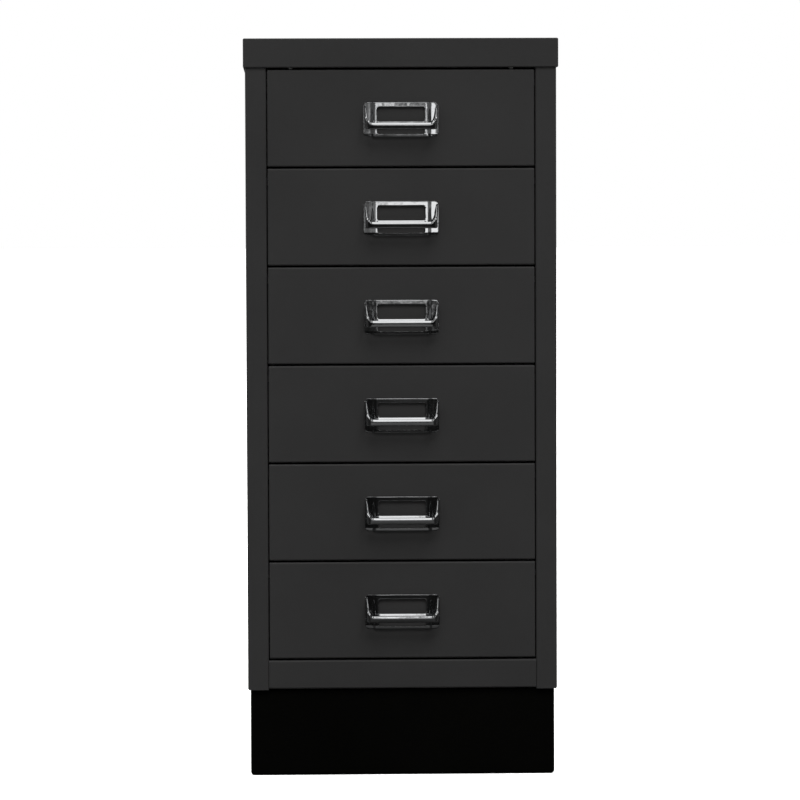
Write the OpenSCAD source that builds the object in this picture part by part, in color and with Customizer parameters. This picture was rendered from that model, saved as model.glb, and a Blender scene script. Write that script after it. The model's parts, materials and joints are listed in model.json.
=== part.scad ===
// Steel drawer cabinet: flush drawers that hang in runners on slotted uprights,
// a folded carcass under a cap with a turned-in rim, and a separate plinth.
// Millimetres. X runs to the right, Y to the back and Z up, and the drawers face -Y.

/* [Carcass] */
// Width over the two side panels
body_w = 275.5; // [255:0.5:340]
// Depth from the face of the stiles to the back of the side panels
body_d = 376.5; // [300:0.5:460]
// Sheet thickness of the side panels, back, base, runners and cap
shell_t = 0.9; // [0.7:0.1:1.2]
// Inside radius of the bends in that sheet
shell_r = 0.8; // [0.4:0.1:1.2]
// Width of the stile at each side of the drawers
stile_w = 18.8; // [18:0.1:26]
// Depth of the flange that turns back from the inner edge of a stile
stile_return = 9; // [6:0.5:13]
// Width of the flange at the back edge of a side panel
back_flange = 16; // [12:0.5:17]
// Height of the rail below the lowest drawer
rail_h = 26.4; // [15:0.1:50]
// Depth of the flanges that turn back from the two front rails
rail_return = 12; // [10:0.5:20]
// Height of the walls turned up round the base pan
pan_h = 11; // [6:0.5:20]
// Depth of the flange along the top of the back panel
panel_lip = 14; // [8:0.5:25]

/* [Cap] */
// Height of the cap's rim
cap_h = 26; // [18:0.1:45]
// Distance that the cap stands proud of the carcass all round
cap_over = 1.75; // [1.5:0.05:4]
// Outside radius of the cap's turned-in lower edge
cap_edge_r = 1.35; // [1.3:0.05:1.4]
// Outside radius of the cap's upper edges and corners
cap_top_r = 1.2; // [1.2:0.05:2]
// Gap between the turned-in edge and the carcass
cap_seam = 0.3; // [0.1:0.05:0.4]
// Depth of the lip turned in above the top drawer
cap_lip = 12; // [11:0.5:18]

/* [Plinth] */
// Height of the plinth
plinth_h = 77; // [50:1:150]
// Distance of the plinth's sides from the carcass's sides
plinth_side_inset = 2.35; // [1:0.05:3]
// Distance of the plinth's front and back from the carcass's
plinth_end_inset = 4; // [1:0.5:30]
// Sheet thickness of the plinth
plinth_t = 1.2; // [1:0.1:2]
// Outside radius of the plinth's turned-in lower edge
plinth_edge_r = 3.6; // [2.5:0.1:6]
// Width of the turned-in edge that stands on the floor
plinth_foot = 14; // [10:0.5:25]
// Width of the flange under the carcass
plinth_flange = 20; // [16:0.5:24]

/* [Drawers] */
// Number of drawers
drawer_count = 6; // [2:1:8]
// Height of a drawer front
front_h = 85.8; // [65:0.1:120]
// Gap above and below each drawer front
front_gap = 1.6; // [1.4:0.1:3]
// Gap at each side of a drawer front
front_side_gap = 0.7; // [0.5:0.1:1.2]
// Depth of a drawer front's folded edges
front_d = 14; // [12:0.5:20]
// Sheet thickness of the drawer fronts and trays
drawer_t = 0.8; // [0.6:0.1:1]
// Outside radius of a front's upper and lower edges
front_edge_r = 2; // [1.4:0.1:3]
// Outside radius of a front's side edges
front_side_r = 1.3; // [1.1:0.1:2]
// Width of the lips behind a front that the tray is riveted to
front_lip = 17; // [15:0.5:19]
// Height of the tray's bottom above the lower edge of its front
tray_lift = 5; // [3:0.5:12]
// Distance of the tray's rim below the upper edge of its front
tray_drop = 10.8; // [9:0.1:20]
// Outside radius of the tray's bottom edges and corners
tray_r = 3.5; // [2:0.1:8]
// Width of the flanges that the tray hangs by
flange_w = 5.4; // [4.8:0.1:7]
// Distance that the tray's back wall is lower than its sides
tray_back_drop = 8; // [0:0.5:30]
// Room between the closed tray and the back of the cabinet
tray_back_gap = 10; // [6:0.5:40]

/* [Runners] */
// Running gap between a drawer and its runners
run_gap = 0.25; // [0.2:0.05:0.35]
// Gap between a drawer's widest piece and the stiles it passes
pass_gap = 0.75; // [0.6:0.05:1]
// Gap between a tray's side and the runner's legs
leg_gap = 1.2; // [0.8:0.1:1.6]
// Gap between a closed front and its runners
runner_front_gap = 1.5; // [1:0.5:4]
// Inside radius of the runner's bends
runner_r = 0.4; // [0.2:0.1:0.5]
// Thickness of the nylon above and below a tray's flange
glide_t = 2; // [1.6:0.1:3]
// Thickness of the nylon beside a tray's flange
glide_side_t = 1; // [0.8:0.1:1.4]
// Length of the nylon glides at the back of a tray
glide_len = 24; // [15:1:40]
// Length of the nylon pads at the front of the runners
pad_len = 24; // [15:1:40]
// Radius of the pegs that hold glides and pads
peg_r = 1.5; // [1.2:0.1:1.6]
// Gap at the end stops of a drawer
stop_gap = 0.3; // [0.2:0.05:1]
// Width of the foot at each side of an upright
foot_w = 9; // [7:0.5:12]
// Width of the slotted web of an upright
web_w = 22; // [16:0.5:30]
// Distance of the uprights from the runners' ends
upright_inset = 4; // [2:0.5:20]
// Width of a runner's hook
hook_w = 10; // [6:0.5:12]
// Distance that a hook reaches down behind the upright's web
hook_drop = 5; // [3:0.5:8]
// Play of a hook in its slot
hook_gap = 0.2; // [0.1:0.05:0.4]

/* [Handle] */
// Width of the handle's plate
pull_w = 66.2; // [56:0.1:90]
// Height of the handle's plate
pull_h = 30.4; // [29:0.1:36]
// Sheet thickness of the handle
pull_t = 0.8; // [0.7:0.05:1]
// Radius of the plate's corners
pull_corner_r = 3.4; // [2:0.1:4]
// Distance of the plate's centre below the centre of its front
pull_drop = 1.3; // [0:0.1:4]
// Width of each flat ear
ear_w = 6.6; // [4.5:0.1:7]
// Width of the slope between an ear and the raised frame
joggle_w = 2.8; // [2:0.1:3.5]
// Height of the pocket for a card behind the frame
pocket_d = 1.3; // [1:0.1:1.6]
// Width of the frame at each side of the window
frame_side_w = 2.4; // [1.6:0.1:3.5]
// Height of the window
window_h = 12.4; // [9:0.1:14]
// Width of the frame above the window
window_drop = 4.5; // [3:0.1:6]
// Radius of the window's corners
window_r = 2.6; // [1:0.1:4]
// Radius of the bead below the window
bead_r = 1.1; // [0.8:0.1:1.2]
// Height of the frame's rail below the window
mid_rail_h = 4; // [3:0.1:5]
// Height of the frame's rail along the bottom of the handle
foot_rail_h = 2.2; // [1.8:0.1:3]
// Distance that the strap stands out from the drawer front
strap_reach = 15; // [14:0.1:22]
// Height of the strap across the front
strap_h = 5.2; // [3.5:0.1:5.5]
// Distance of the strap's upper edge below the plate's
strap_drop = 18.8; // [17:0.1:20]
// Distance of the cheeks' upper ends below the plate's upper edge
cheek_drop = 2.6; // [2.4:0.1:6]
// Distance that the cheeks stand out at that height
cheek_flat = 5; // [2:0.1:5.5]
// Distance that each cheek leans in from its root to the front corner
cheek_lean = 0.8; // [0.2:0.1:7]
// Distance of each cheek's root from the edge of its ear
cheek_inset = 0.6; // [0.4:0.1:2]
// Outside radius of the strap's front corners
strap_corner_r = 7; // [3:0.1:8]
// Width of the tabs that pass through the drawer front
tab_w = 5; // [3:0.5:6]
// Length of the part of a tab that is bent over
tab_hook = 4.5; // [3:0.5:6]
// Distance of a tab from the plate's upper or lower edge
tab_inset = 4.6; // [4.2:0.1:6]
// Play of a tab in its slot
tab_gap = 0.15; // [0.1:0.05:0.3]

/* [Fixings] */
// Radius of the rivets in the carcass and the drawers
rivet_r = 1.5; // [1.2:0.1:1.8]
// Radius of the rivets' heads
rivet_head_r = 2.7; // [2.4:0.1:3]
// Height of the rivets' heads
rivet_head_h = 1; // [0.7:0.1:1.2]
// Number of rivets down each side of the back panel
back_rivet_count = 5; // [3:1:9]
// Distance of the outer rivets from the ends of the back panel
back_rivet_inset = 40; // [20:1:60]
// Distance of a drawer's rivets from the tray's bottom and rim
drawer_rivet_inset = 12; // [8:0.5:16]
// Radius of the cap's weld studs
stud_r = 2.5; // [2:0.5:3]
// Length of the cap's weld studs
stud_len = 9; // [8:0.5:14]
// Radius of the plinth's bolts
bolt_r = 3; // [2.5:0.5:3.5]
// Distance of studs and bolts from the nearest upright
bolt_inset = 15; // [8:1:80]
// Gap between a bolt's head and the wall of the plinth
bolt_wall_gap = 0.9; // [0.5:0.1:1.4]
// Sheet left beside a bolt's hole in a side panel's flange
hole_edge = 2.5; // [1.5:0.1:2.9]
// Play round a stud, bolt or buffer in its hole
hole_gap = 0.3; // [0.2:0.05:0.4]
// Play round a rivet, a peg or a thread
fit_gap = 0.05; // [0.03:0.01:0.1]
// Distance of the two buffers above the top drawer from the centre line
buffer_x = 97.7; // [60:0.1:105]
// Distance of the buffers behind the face of the stiles
buffer_y = 7; // [5:0.5:8]
// Radius of a buffer
buffer_r = 2.2; // [2:0.1:2.6]
// Radius of a buffer's stem
stem_r = 1.3; // [1:0.1:1.5]
// Distance that a buffer stands down into the gap
buffer_h = 1.15; // [0.8:0.05:1.2]

/* [Hidden] */
sides = ["left", "right"];
drawers = [1 : drawer_count];
drawer_pieces = ["front", "tray", "handle", "glides", "rivets"];
$fn = 48;

paint = [0.19, 0.19, 0.2];
black = [0.05, 0.05, 0.05];
zinc = [0.72, 0.74, 0.76];
nylon = [0.88, 0.87, 0.83];
rubber = [0.3, 0.3, 0.3];
chrome = [0.85, 0.86, 0.88];

bend_steps = 4;    // flats round a sheet's bend
curve_steps = 10;  // flats round the handle's larger curves
fold_r = 0.1;      // inside radius of a sharp fold
over = 1;          // how far a cutting shape runs past what it cuts

// Levels, from the floor up
pitch = front_h + front_gap;
z_floor = plinth_h + shell_t;                          // underside of the base pan
z_rail = plinth_h + rail_h;                            // upper edge of the front rail
z_fascia = z_rail + front_gap + drawer_count * pitch;  // lower edge of the cap
z_top = z_fascia + cap_h;
z_seat = z_top - shell_t;                              // underside of the cap's top sheet

// Depths, with the whole cabinet centred on the origin
y_front = (strap_reach - cap_over - body_d) / 2;
y_back = y_front + body_d;
y_panel = y_back - 2 * shell_t;                        // front face of the back panel
tray_front = y_front + front_d;
tray_back = y_panel - tray_back_gap;
runner_front = tray_front + runner_front_gap;
runner_back = tray_back + stop_gap + shell_t;

// Widths, from the centre line out
half_w = body_w / 2;
side_in = half_w - shell_t;
open_half = half_w - stile_w;
front_half = open_half - front_side_gap;
glide_half = open_half - pass_gap;
flange_half = glide_half - glide_side_t;
tray_half = flange_half - flange_w;
web_in = glide_half + run_gap;                         // inner face of a runner's web
web_out = web_in + shell_t;
leg_tip = tray_half + leg_gap;
peg_x = (leg_tip + flange_half) / 2;

// Bend radius outside the sheet
shell_ro = shell_r + shell_t;

// Uprights, and the studs and bolts between them
upright_w = 2 * foot_w + web_w;
upright_ys = [runner_front + upright_inset, runner_back - upright_inset - upright_w];
head_rise = 1.3;    // height of a bolt's head, in radii
nut_rise = 1.6;     // height of a nut, in radii
hex_across = 3.3;   // width across flats, in radii
bolt_head_h = head_rise * bolt_r;
bolt_nut_h = nut_rise * bolt_r;
bolt_across = hex_across * bolt_r;
stud_nut_h = nut_rise * stud_r;
bolt_x = half_w - plinth_side_inset - plinth_t - bolt_wall_gap - bolt_across / cos(30) / 2;
bolt_ys = [upright_ys[0] + upright_w + bolt_inset, upright_ys[1] - bolt_inset];

// Flanges along the top and bottom of a side panel
seat_flange = half_w - bolt_x + bolt_r + hole_gap + hole_edge;

// Levels of drawer i, counted from the top
function front_z(i) = z_rail + front_gap + (drawer_count - i) * pitch;
function tray_z(i) = front_z(i) + tray_lift;
function rim_z(i) = front_z(i) + front_h - tray_drop;
function runner_z(i) = rim_z(i) - drawer_t - glide_t - run_gap - shell_t;
runner_h = drawer_t + 2 * (glide_t + run_gap + shell_t);
function pull_z(i) = front_z(i) + front_h / 2 - pull_drop - pull_h / 2;

echo(drawer_travel = tray_back - glide_len - stop_gap - (runner_front + pad_len));

// ---- Outlines -------------------------------------------------------------

function unit(v) = v / norm(v);
function left_of(v) = [-v.y, v.x];
function turned(v, a) = [v.x * cos(a) - v.y * sin(a), v.x * sin(a) + v.y * cos(a)];
function reversed(v) = [for (i = [len(v) - 1 : -1 : 0]) v[i]];

// Arc at corner p, where direction a turns into b: rho is its radius, and d shifts it to the left
function corner_arc(p, a, b, rho, d, steps) =
    let (s = sign(cross(a, b)))
    let (turn = acos(a * b))
    let (centre = p - a * rho * tan(turn / 2) + s * rho * left_of(a))
    [for (k = [0 : steps]) centre - s * (rho - s * d) * left_of(turned(a, s * turn * k / steps))];

// One face of a folded sheet, d to the left of the path
function sheet_face(path, t, r, d, steps) =
    let (last = len(path) - 1)
    let (dirs = [for (i = [0 : last - 1]) unit(path[i + 1] - path[i])])
    [
        path[0] + d * left_of(dirs[0]),
        for (i = [1 : last - 1])
            let (inner = cross(dirs[i - 1], dirs[i]) * t > 0)
            each corner_arc(path[i], dirs[i - 1], dirs[i], inner ? r + abs(t) : r, d, steps),
        path[last] + d * left_of(dirs[last - 1])
    ];

// Outline of a sheet folded along a path, to the path's left where t is positive, else to its right
function folded(path, t, r, steps = bend_steps) =
    concat(sheet_face(path, t, r, 0, steps), reversed(sheet_face(path, t, r, t, steps)));

// Closed outline with one radius for each corner
function rounded(p, r, steps = bend_steps) =
    let (n = len(p))
    [
        for (i = [0 : n - 1])
            let (a = unit(p[i] - p[(i + n - 1) % n]))
            let (b = unit(p[(i + 1) % n] - p[i]))
            each r[i] > 0 ? corner_arc(p[i], a, b, r[i], 0, steps) : [p[i]]
    ];

// Rectangle with the radii of its corners, anticlockwise from the low one
function rect(lo, hi, r, steps = bend_steps) =
    rounded([lo, [hi.x, lo.y], hi, [lo.x, hi.y]], r, steps);

module along_x(x0, x1, points)
    translate([x0, 0, 0]) rotate([90, 0, 90]) linear_extrude(x1 - x0) polygon(points);

module along_y(y0, y1, points)
    translate([0, y1, 0]) rotate([90, 0, 0]) linear_extrude(y1 - y0) polygon(points);

module along_z(z0, z1, points)
    translate([0, 0, z0]) linear_extrude(z1 - z0) polygon(points);

module box(lo, hi)
    translate(lo) cube(hi - lo);

// Block with its edges rounded as seen from above, from the front and from the right
module formed_block(lo, hi, plan, front, side)
    intersection() {
        along_z(lo.z, hi.z, rect([lo.x, lo.y], [hi.x, hi.y], plan));
        along_y(lo.y, hi.y, rect([lo.x, lo.z], [hi.x, hi.z], front));
        along_x(lo.x, hi.x, rect([lo.y, lo.z], [hi.y, hi.z], side));
    }

// Both hands of a piece that is drawn on the left
module on_side(side)
    mirror([side == "right" ? 1 : 0, 0, 0]) children();

module both_sides() {
    children();
    mirror([1, 0, 0]) children();
}

module rod(r, p, h)
    translate(p) cylinder(r = r, h = h);

module hex_nut(r, across, h, p)
    translate(p) difference() {
        cylinder(d = across / cos(30), h = h, $fn = 6);
        translate([0, 0, -over]) cylinder(r = r + fit_gap, h = h + 2 * over);
    }

// Rivet along Y through what lies between y0 and y1, with a flat head at each end
module rivet(x, y0, y1, z) {
    flat_r = rivet_head_r - rivet_head_h / 2;
    translate([x, y0, z]) rotate([-90, 0, 0]) {
        cylinder(r = rivet_r, h = y1 - y0);
        translate([0, 0, -rivet_head_h]) cylinder(r1 = flat_r, r2 = rivet_head_r, h = rivet_head_h);
        translate([0, 0, y1 - y0]) cylinder(r1 = rivet_head_r, r2 = flat_r, h = rivet_head_h);
    }
}

module rivet_hole(x, y, z)
    translate([x, y - over, z]) rotate([-90, 0, 0])
        cylinder(r = rivet_r + fit_gap, h = shell_t + 2 * over);

// ---- Carcass --------------------------------------------------------------

back_rivet_x = half_w - (back_flange + shell_ro) / 2;
back_rivet_step = (z_seat - z_floor - 2 * back_rivet_inset) / (back_rivet_count - 1);
back_rivet_zs = [for (k = [0 : back_rivet_count - 1]) z_floor + back_rivet_inset + k * back_rivet_step];

// Side, stile with its return, back flange, and the flanges that the cap and base seat on
module side_panel(side) {
    inner = -open_half - shell_t;
    back = y_back - shell_t;
    top = z_seat - shell_t;
    color(paint) on_side(side) difference() {
        formed_block(
            [-half_w, y_front, plinth_h], [-open_half, y_back, z_seat],
            [shell_ro, shell_ro, 0, shell_ro], [shell_ro, 0, 0, shell_ro], [0, 0, 0, 0]
        );
        formed_block(
            [-side_in, y_front + shell_t, z_floor], [inner, back, top],
            [shell_r, shell_r, 0, shell_r], [shell_r, 0, 0, shell_r], [0, 0, 0, 0]
        );
        box([inner - over, y_front + stile_return, z_floor], [-open_half + over, back, top]);
        box(
            [-half_w + seat_flange, y_front + stile_return, plinth_h - over],
            [-open_half + over, back, z_seat + over]
        );
        box(
            [-half_w + back_flange, back - over, plinth_h - over],
            [-open_half + over, y_back + over, z_seat + over]
        );
        for (y = bolt_ys) {
            rod(bolt_r + hole_gap, [-bolt_x, y, plinth_h - over], shell_t + 2 * over);
            rod(stud_r + hole_gap, [-bolt_x, y, top - over], shell_t + 2 * over);
        }
        for (z = back_rivet_zs) rivet_hole(-back_rivet_x, back, z);
    }
}

// Panel inside the back flanges, with a lip along its top
module back_panel() {
    back = y_panel + shell_t;
    top = z_seat - shell_t;
    color(paint) difference() {
        along_x(
            -side_in + shell_r, side_in - shell_r,
            folded([[back, z_floor], [back, top], [back - panel_lip, top]], shell_t, shell_r)
        );
        both_sides() for (z = back_rivet_zs) rivet_hole(-back_rivet_x, y_panel, z);
    }
}

module back_rivets()
    color(zinc) both_sides() for (z = back_rivet_zs) rivet(-back_rivet_x, y_panel, y_back, z);

// Front rail between the stiles, and the floor pan behind it on the lower flanges
module base_pan() {
    t = shell_t;
    pan_front = y_front + stile_return + hook_gap;
    pan_top = z_floor + pan_h;
    color(paint) difference() {
        union() {
            along_x(
                -open_half, open_half,
                folded(
                    [
                        [y_front + rail_return, z_rail], [y_front, z_rail],
                        [y_front, z_floor], [pan_front + rail_return, z_floor]
                    ],
                    t, shell_r
                )
            );
            difference() {
                formed_block(
                    [-side_in, pan_front, z_floor], [side_in, y_panel, pan_top],
                    [0, 0, shell_ro, shell_ro], [shell_ro, shell_ro, 0, 0], [0, shell_ro, 0, 0]
                );
                formed_block(
                    [-side_in + t, pan_front - over, z_floor + t],
                    [side_in - t, y_panel - t, pan_top + over],
                    [0, 0, shell_r, shell_r], [shell_r, shell_r, 0, 0], [0, shell_r, 0, 0]
                );
            }
        }
        both_sides() for (y = bolt_ys)
            rod(bolt_r + hole_gap, [-bolt_x, y, z_floor - over], t + 2 * over);
    }
}

// Channel between the stiles, behind the cap's rim
module top_cross_rail()
    color(paint) difference() {
        along_x(
            -open_half, open_half,
            folded(
                [
                    [y_front + rail_return, z_fascia + shell_t], [y_front, z_fascia + shell_t],
                    [y_front, z_seat], [y_front + rail_return, z_seat]
                ],
                -shell_t, shell_r
            )
        );
        both_sides()
            rod(stem_r + hole_gap, [-buffer_x, y_front + buffer_y, z_fascia], 2 * shell_t + over);
    }

// Cap with its rim turned in all round, a deeper lip above the top drawer, and four weld studs
module top_cap() {
    lo = [-half_w - cap_over, y_front - cap_over, z_fascia];
    hi = [half_w + cap_over, y_back + cap_over, z_top];
    wall = [shell_t, shell_t, shell_t];
    edges = [cap_edge_r, cap_edge_r, cap_top_r, cap_top_r];
    corners = [cap_top_r, cap_top_r, cap_top_r, cap_top_r];
    inside = [shell_t, shell_t, shell_t, shell_t];
    color(paint) {
        difference() {
            formed_block(lo, hi, corners, edges, edges);
            formed_block(lo + wall, hi - wall, corners - inside, edges - inside, edges - inside);
            box(
                [-half_w - cap_seam, y_front - cap_seam, z_fascia - over],
                [half_w + cap_seam, y_back + cap_seam, z_fascia + shell_t + over]
            );
        }
        difference() {
            box(
                [-open_half + cap_seam, y_front - cap_over + cap_edge_r, z_fascia],
                [open_half - cap_seam, y_front + cap_lip, z_fascia + shell_t]
            );
            both_sides()
                rod(
                    stem_r + hole_gap, [-buffer_x, y_front + buffer_y, z_fascia - over],
                    shell_t + 2 * over
                );
        }
        both_sides() for (y = bolt_ys)
            rod(stud_r, [-bolt_x, y, z_seat - stud_len], stud_len + shell_t / 2);
    }
}

module cap_nuts()
    color(zinc) both_sides() for (y = bolt_ys)
        hex_nut(stud_r, hex_across * stud_r, stud_nut_h, [-bolt_x, y, z_seat - shell_t - stud_nut_h]);

// Press-in buffers that keep the top drawer from rising against the cap
module top_stop_buffers() {
    tip_r = (buffer_r + stem_r) / 2;
    color(rubber) both_sides() translate([-buffer_x, y_front + buffer_y, z_fascia]) {
        translate([0, 0, -buffer_h]) cylinder(r1 = tip_r, r2 = buffer_r, h = buffer_h);
        cylinder(r = stem_r, h = 2 * shell_t + buffer_h);
        translate([0, 0, 2 * shell_t]) cylinder(r1 = buffer_r, r2 = stem_r, h = buffer_h);
    }
}

// ---- Uprights and runners ---------------------------------------------------

function hook_z(i) = runner_z(i) + runner_h / 2 - shell_t / 2;

// Hat section from the base pan's wall to the upper flange, with a slot for each runner's hook
module upright(side, y0) {
    feet = -side_in;
    web = -web_out - shell_t;
    y1 = y0 + foot_w;
    y2 = y1 + web_w;
    slot_in = (web_w - hook_w) / 2 - hook_gap;
    color(paint) on_side(side) difference() {
        along_z(
            z_floor + pan_h, z_seat - shell_t,
            folded(
                [[feet, y0], [feet, y1], [web, y1], [web, y2], [feet, y2], [feet, y2 + foot_w]],
                -shell_t, shell_r
            )
        );
        for (i = drawers)
            box(
                [web - over, y1 + slot_in, hook_z(i)],
                [-web_out + over, y2 - slot_in, hook_z(i) + shell_t + hook_drop + hook_gap]
            );
    }
}

// Channel that a tray's flange hangs in, with a stop at its back and hooks through both uprights
module runner(i, side) {
    z0 = runner_z(i);
    z1 = z0 + runner_h;
    z_hook = hook_z(i) + shell_t;
    mid_web = -web_in - shell_t / 2;
    hook_out = -web_out - 2 * shell_t - hook_gap;
    hook_in = (upright_w - hook_w) / 2;
    color(zinc) on_side(side) {
        difference() {
            along_y(
                runner_front, runner_back,
                folded([[-leg_tip, z0], [-web_out, z0], [-web_out, z1], [-leg_tip, z1]], -shell_t, runner_r)
            );
            rod(peg_r + fit_gap, [-peg_x, runner_front + pad_len / 2, z0 - over], shell_t + 2 * over);
        }
        box(
            [mid_web, runner_back - shell_t, z0 + shell_t / 2],
            [-leg_tip, runner_back, z1 - shell_t / 2]
        );
        for (y = upright_ys)
            along_y(
                y + hook_in, y + upright_w - hook_in,
                folded(
                    [[mid_web, z_hook], [hook_out, z_hook], [hook_out, z_hook - hook_drop]],
                    shell_t, fold_r
                )
            );
    }
}

module runner_pads()
    color(nylon) both_sides() for (i = drawers) {
        leg = runner_z(i) + shell_t;
        box([-web_in + runner_r, runner_front, leg], [-leg_tip, runner_front + pad_len, leg + glide_t]);
        rod(peg_r, [-peg_x, runner_front + pad_len / 2, leg - shell_t], shell_t + glide_t);
    }

// ---- Plinth -----------------------------------------------------------------

module plinth() {
    lo = [-half_w + plinth_side_inset, y_front + plinth_end_inset, 0];
    hi = [half_w - plinth_side_inset, y_back - plinth_end_inset, plinth_h];
    t = plinth_t;
    ro = plinth_edge_r;
    ri = ro - t;
    up = shell_ro;
    ui = up - shell_t;
    color(black) difference() {
        formed_block(lo, hi, [up, up, up, up], [ro, ro, up, up], [ro, ro, up, up]);
        formed_block(
            lo + [t, t, t], hi - [t, t, t],
            [ui, ui, ui, ui], [ri, ri, ui, ui], [ri, ri, ui, ui]
        );
        box(lo + [plinth_foot, plinth_foot, -over], [hi.x - plinth_foot, hi.y - plinth_foot, t + over]);
        box(
            [lo.x + plinth_flange, lo.y + plinth_flange, plinth_h - t - over],
            hi + [-plinth_flange, -plinth_flange, over]
        );
        both_sides() for (y = bolt_ys)
            rod(bolt_r + hole_gap, [-bolt_x, y, plinth_h - t - over], t + 2 * over);
    }
}

module plinth_bolts()
    color(zinc) both_sides() for (y = bolt_ys) translate([-bolt_x, y, plinth_h - plinth_t]) {
        translate([0, 0, -bolt_head_h]) cylinder(d = bolt_across / cos(30), h = bolt_head_h, $fn = 6);
        cylinder(r = bolt_r, h = plinth_t + 2 * shell_t + bolt_nut_h + bolt_r / 2);
    }

module plinth_nuts()
    color(zinc) both_sides() for (y = bolt_ys)
        hex_nut(bolt_r, bolt_across, bolt_nut_h, [-bolt_x, y, z_floor + shell_t]);

// ---- Drawers ----------------------------------------------------------------

drawer_rivet_x = (tray_half - tray_r + front_half - front_lip) / 2;

// Folded pan with lips at its back, and slots for the handle's tabs
module drawer_front(i) {
    t = drawer_t;
    z0 = front_z(i);
    z1 = z0 + front_h;
    inner_edge = front_edge_r - t;
    inner_side = front_side_r - t;
    color(paint) difference() {
        union() {
            difference() {
                formed_block(
                    [-front_half, y_front, z0], [front_half, tray_front, z1],
                    [front_side_r, front_side_r, 0, 0], [0, 0, 0, 0], [front_edge_r, 0, 0, front_edge_r]
                );
                formed_block(
                    [-front_half + t, y_front + t, z0 + t], [front_half - t, tray_front + over, z1 - t],
                    [inner_side, inner_side, 0, 0], [0, 0, 0, 0], [inner_edge, 0, 0, inner_edge]
                );
            }
            both_sides() box(
                [-front_half + t / 2, tray_front - t, tray_z(i)],
                [-front_half + front_lip, tray_front, rim_z(i) - 2 * t]
            );
        }
        both_sides() for (z = drawer_rivet_zs(i)) rivet_hole(-drawer_rivet_x, tray_front - t, z);
        both_sides() for (z = tab_zs(i))
            box(
                [-pull_w / 2 - tab_gap, y_front - over, z - tab_gap],
                [-pull_w / 2 + pull_t + tab_gap, y_front + t + over, z + tab_w + tab_gap]
            );
    }
}

function drawer_rivet_zs(i) = [tray_z(i) + drawer_rivet_inset, rim_z(i) - drawer_rivet_inset];

module drawer_rivets(i)
    color(zinc) both_sides() for (z = drawer_rivet_zs(i))
        rivet(-drawer_rivet_x, tray_front - drawer_t, tray_front + drawer_t, z);

// Pressed tray with a lower back wall and the two flanges it hangs by
module drawer_tray(i) {
    t = drawer_t;
    ri = tray_r - t;
    z0 = tray_z(i);
    z1 = rim_z(i);
    color(paint) difference() {
        union() {
            difference() {
                formed_block(
                    [-tray_half, tray_front, z0], [tray_half, tray_back, z1],
                    [tray_r, tray_r, tray_r, tray_r], [tray_r, tray_r, 0, 0], [tray_r, tray_r, 0, 0]
                );
                formed_block(
                    [-tray_half + t, tray_front + t, z0 + t], [tray_half - t, tray_back - t, z1 + over],
                    [ri, ri, ri, ri], [ri, ri, 0, 0], [ri, ri, 0, 0]
                );
                box(
                    [-tray_half + tray_r, tray_back - t - over, z1 - tray_back_drop],
                    [tray_half - tray_r, tray_back + over, z1 + over]
                );
            }
            both_sides() along_z(
                z1 - t, z1,
                [
                    [-flange_half, tray_front], [-tray_half + t / 2, tray_front + tray_r],
                    [-tray_half + t / 2, tray_back - tray_r], [-tray_half - t, tray_back],
                    [-flange_half, tray_back]
                ]
            );
        }
        both_sides() {
            for (z = drawer_rivet_zs(i)) rivet_hole(-drawer_rivet_x, tray_front, z);
            rod(peg_r + fit_gap, [-peg_x, tray_back - glide_len / 2, z1 - t - over], t + 2 * over);
        }
    }
}

// Nylon clips round the back ends of the flanges
module drawer_glides(i) {
    z0 = rim_z(i) - drawer_t;
    y0 = tray_back - glide_len;
    color(nylon) both_sides() {
        difference() {
            box([-glide_half, y0, z0 - glide_t], [-leg_tip, tray_back, rim_z(i) + glide_t]);
            box([-flange_half, y0 - over, z0], [-leg_tip + over, tray_back + over, rim_z(i)]);
        }
        rod(peg_r, [-peg_x, tray_back - glide_len / 2, z0 - glide_t / 2], drawer_t + glide_t);
    }
}

// ---- Handle -----------------------------------------------------------------

// Lower ends of the four tabs that hold a handle
function tab_zs(i) = [pull_z(i) + tab_inset, pull_z(i) + pull_h - tab_inset - tab_w];

frame_half = pull_w / 2 - ear_w - joggle_w;   // half width of the raised frame
frame_y = y_front - pocket_d;                 // its back face
window_half = frame_half - frame_side_w;
strap_root = pull_w / 2 - cheek_inset;
slot_rounding = 0.3;                          // corner radius in heights of the lower opening

// Ears on the drawer front and, between them, the raised frame
module pull_plate(z0)
    intersection() {
        along_z(
            z0, z0 + pull_h,
            folded(
                [
                    [-pull_w / 2, y_front], [-frame_half - joggle_w, y_front], [-frame_half, frame_y],
                    [frame_half, frame_y], [frame_half + joggle_w, y_front], [pull_w / 2, y_front]
                ],
                -pull_t, pull_t / 2
            )
        );
        along_y(
            frame_y - pull_t - over, y_front,
            rect(
                [-pull_w / 2, z0], [pull_w / 2, z0 + pull_h],
                [pull_corner_r, pull_corner_r, pull_corner_r, pull_corner_r], curve_steps
            )
        );
    }

// Opening in the frame with a radius of its own
module frame_opening(low, high, r)
    along_y(
        frame_y - pull_t - over, y_front + over,
        rect([-window_half, low], [window_half, high], [r, r, r, r], curve_steps)
    );

// Upper edge of a strap seen from the side: laid flat, it would climb evenly from corner to cheek
function strap_edge(top, climb) =
    let (r = strap_corner_r)
    let (flat_len = r * PI / 2 + strap_reach - r - cheek_flat)
    [
        for (a = [90 : -90 / curve_steps : 0])
            [y_front - strap_reach + r * (1 - cos(a)), top + climb * r * a * PI / 180 / flat_len]
    ];

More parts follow.
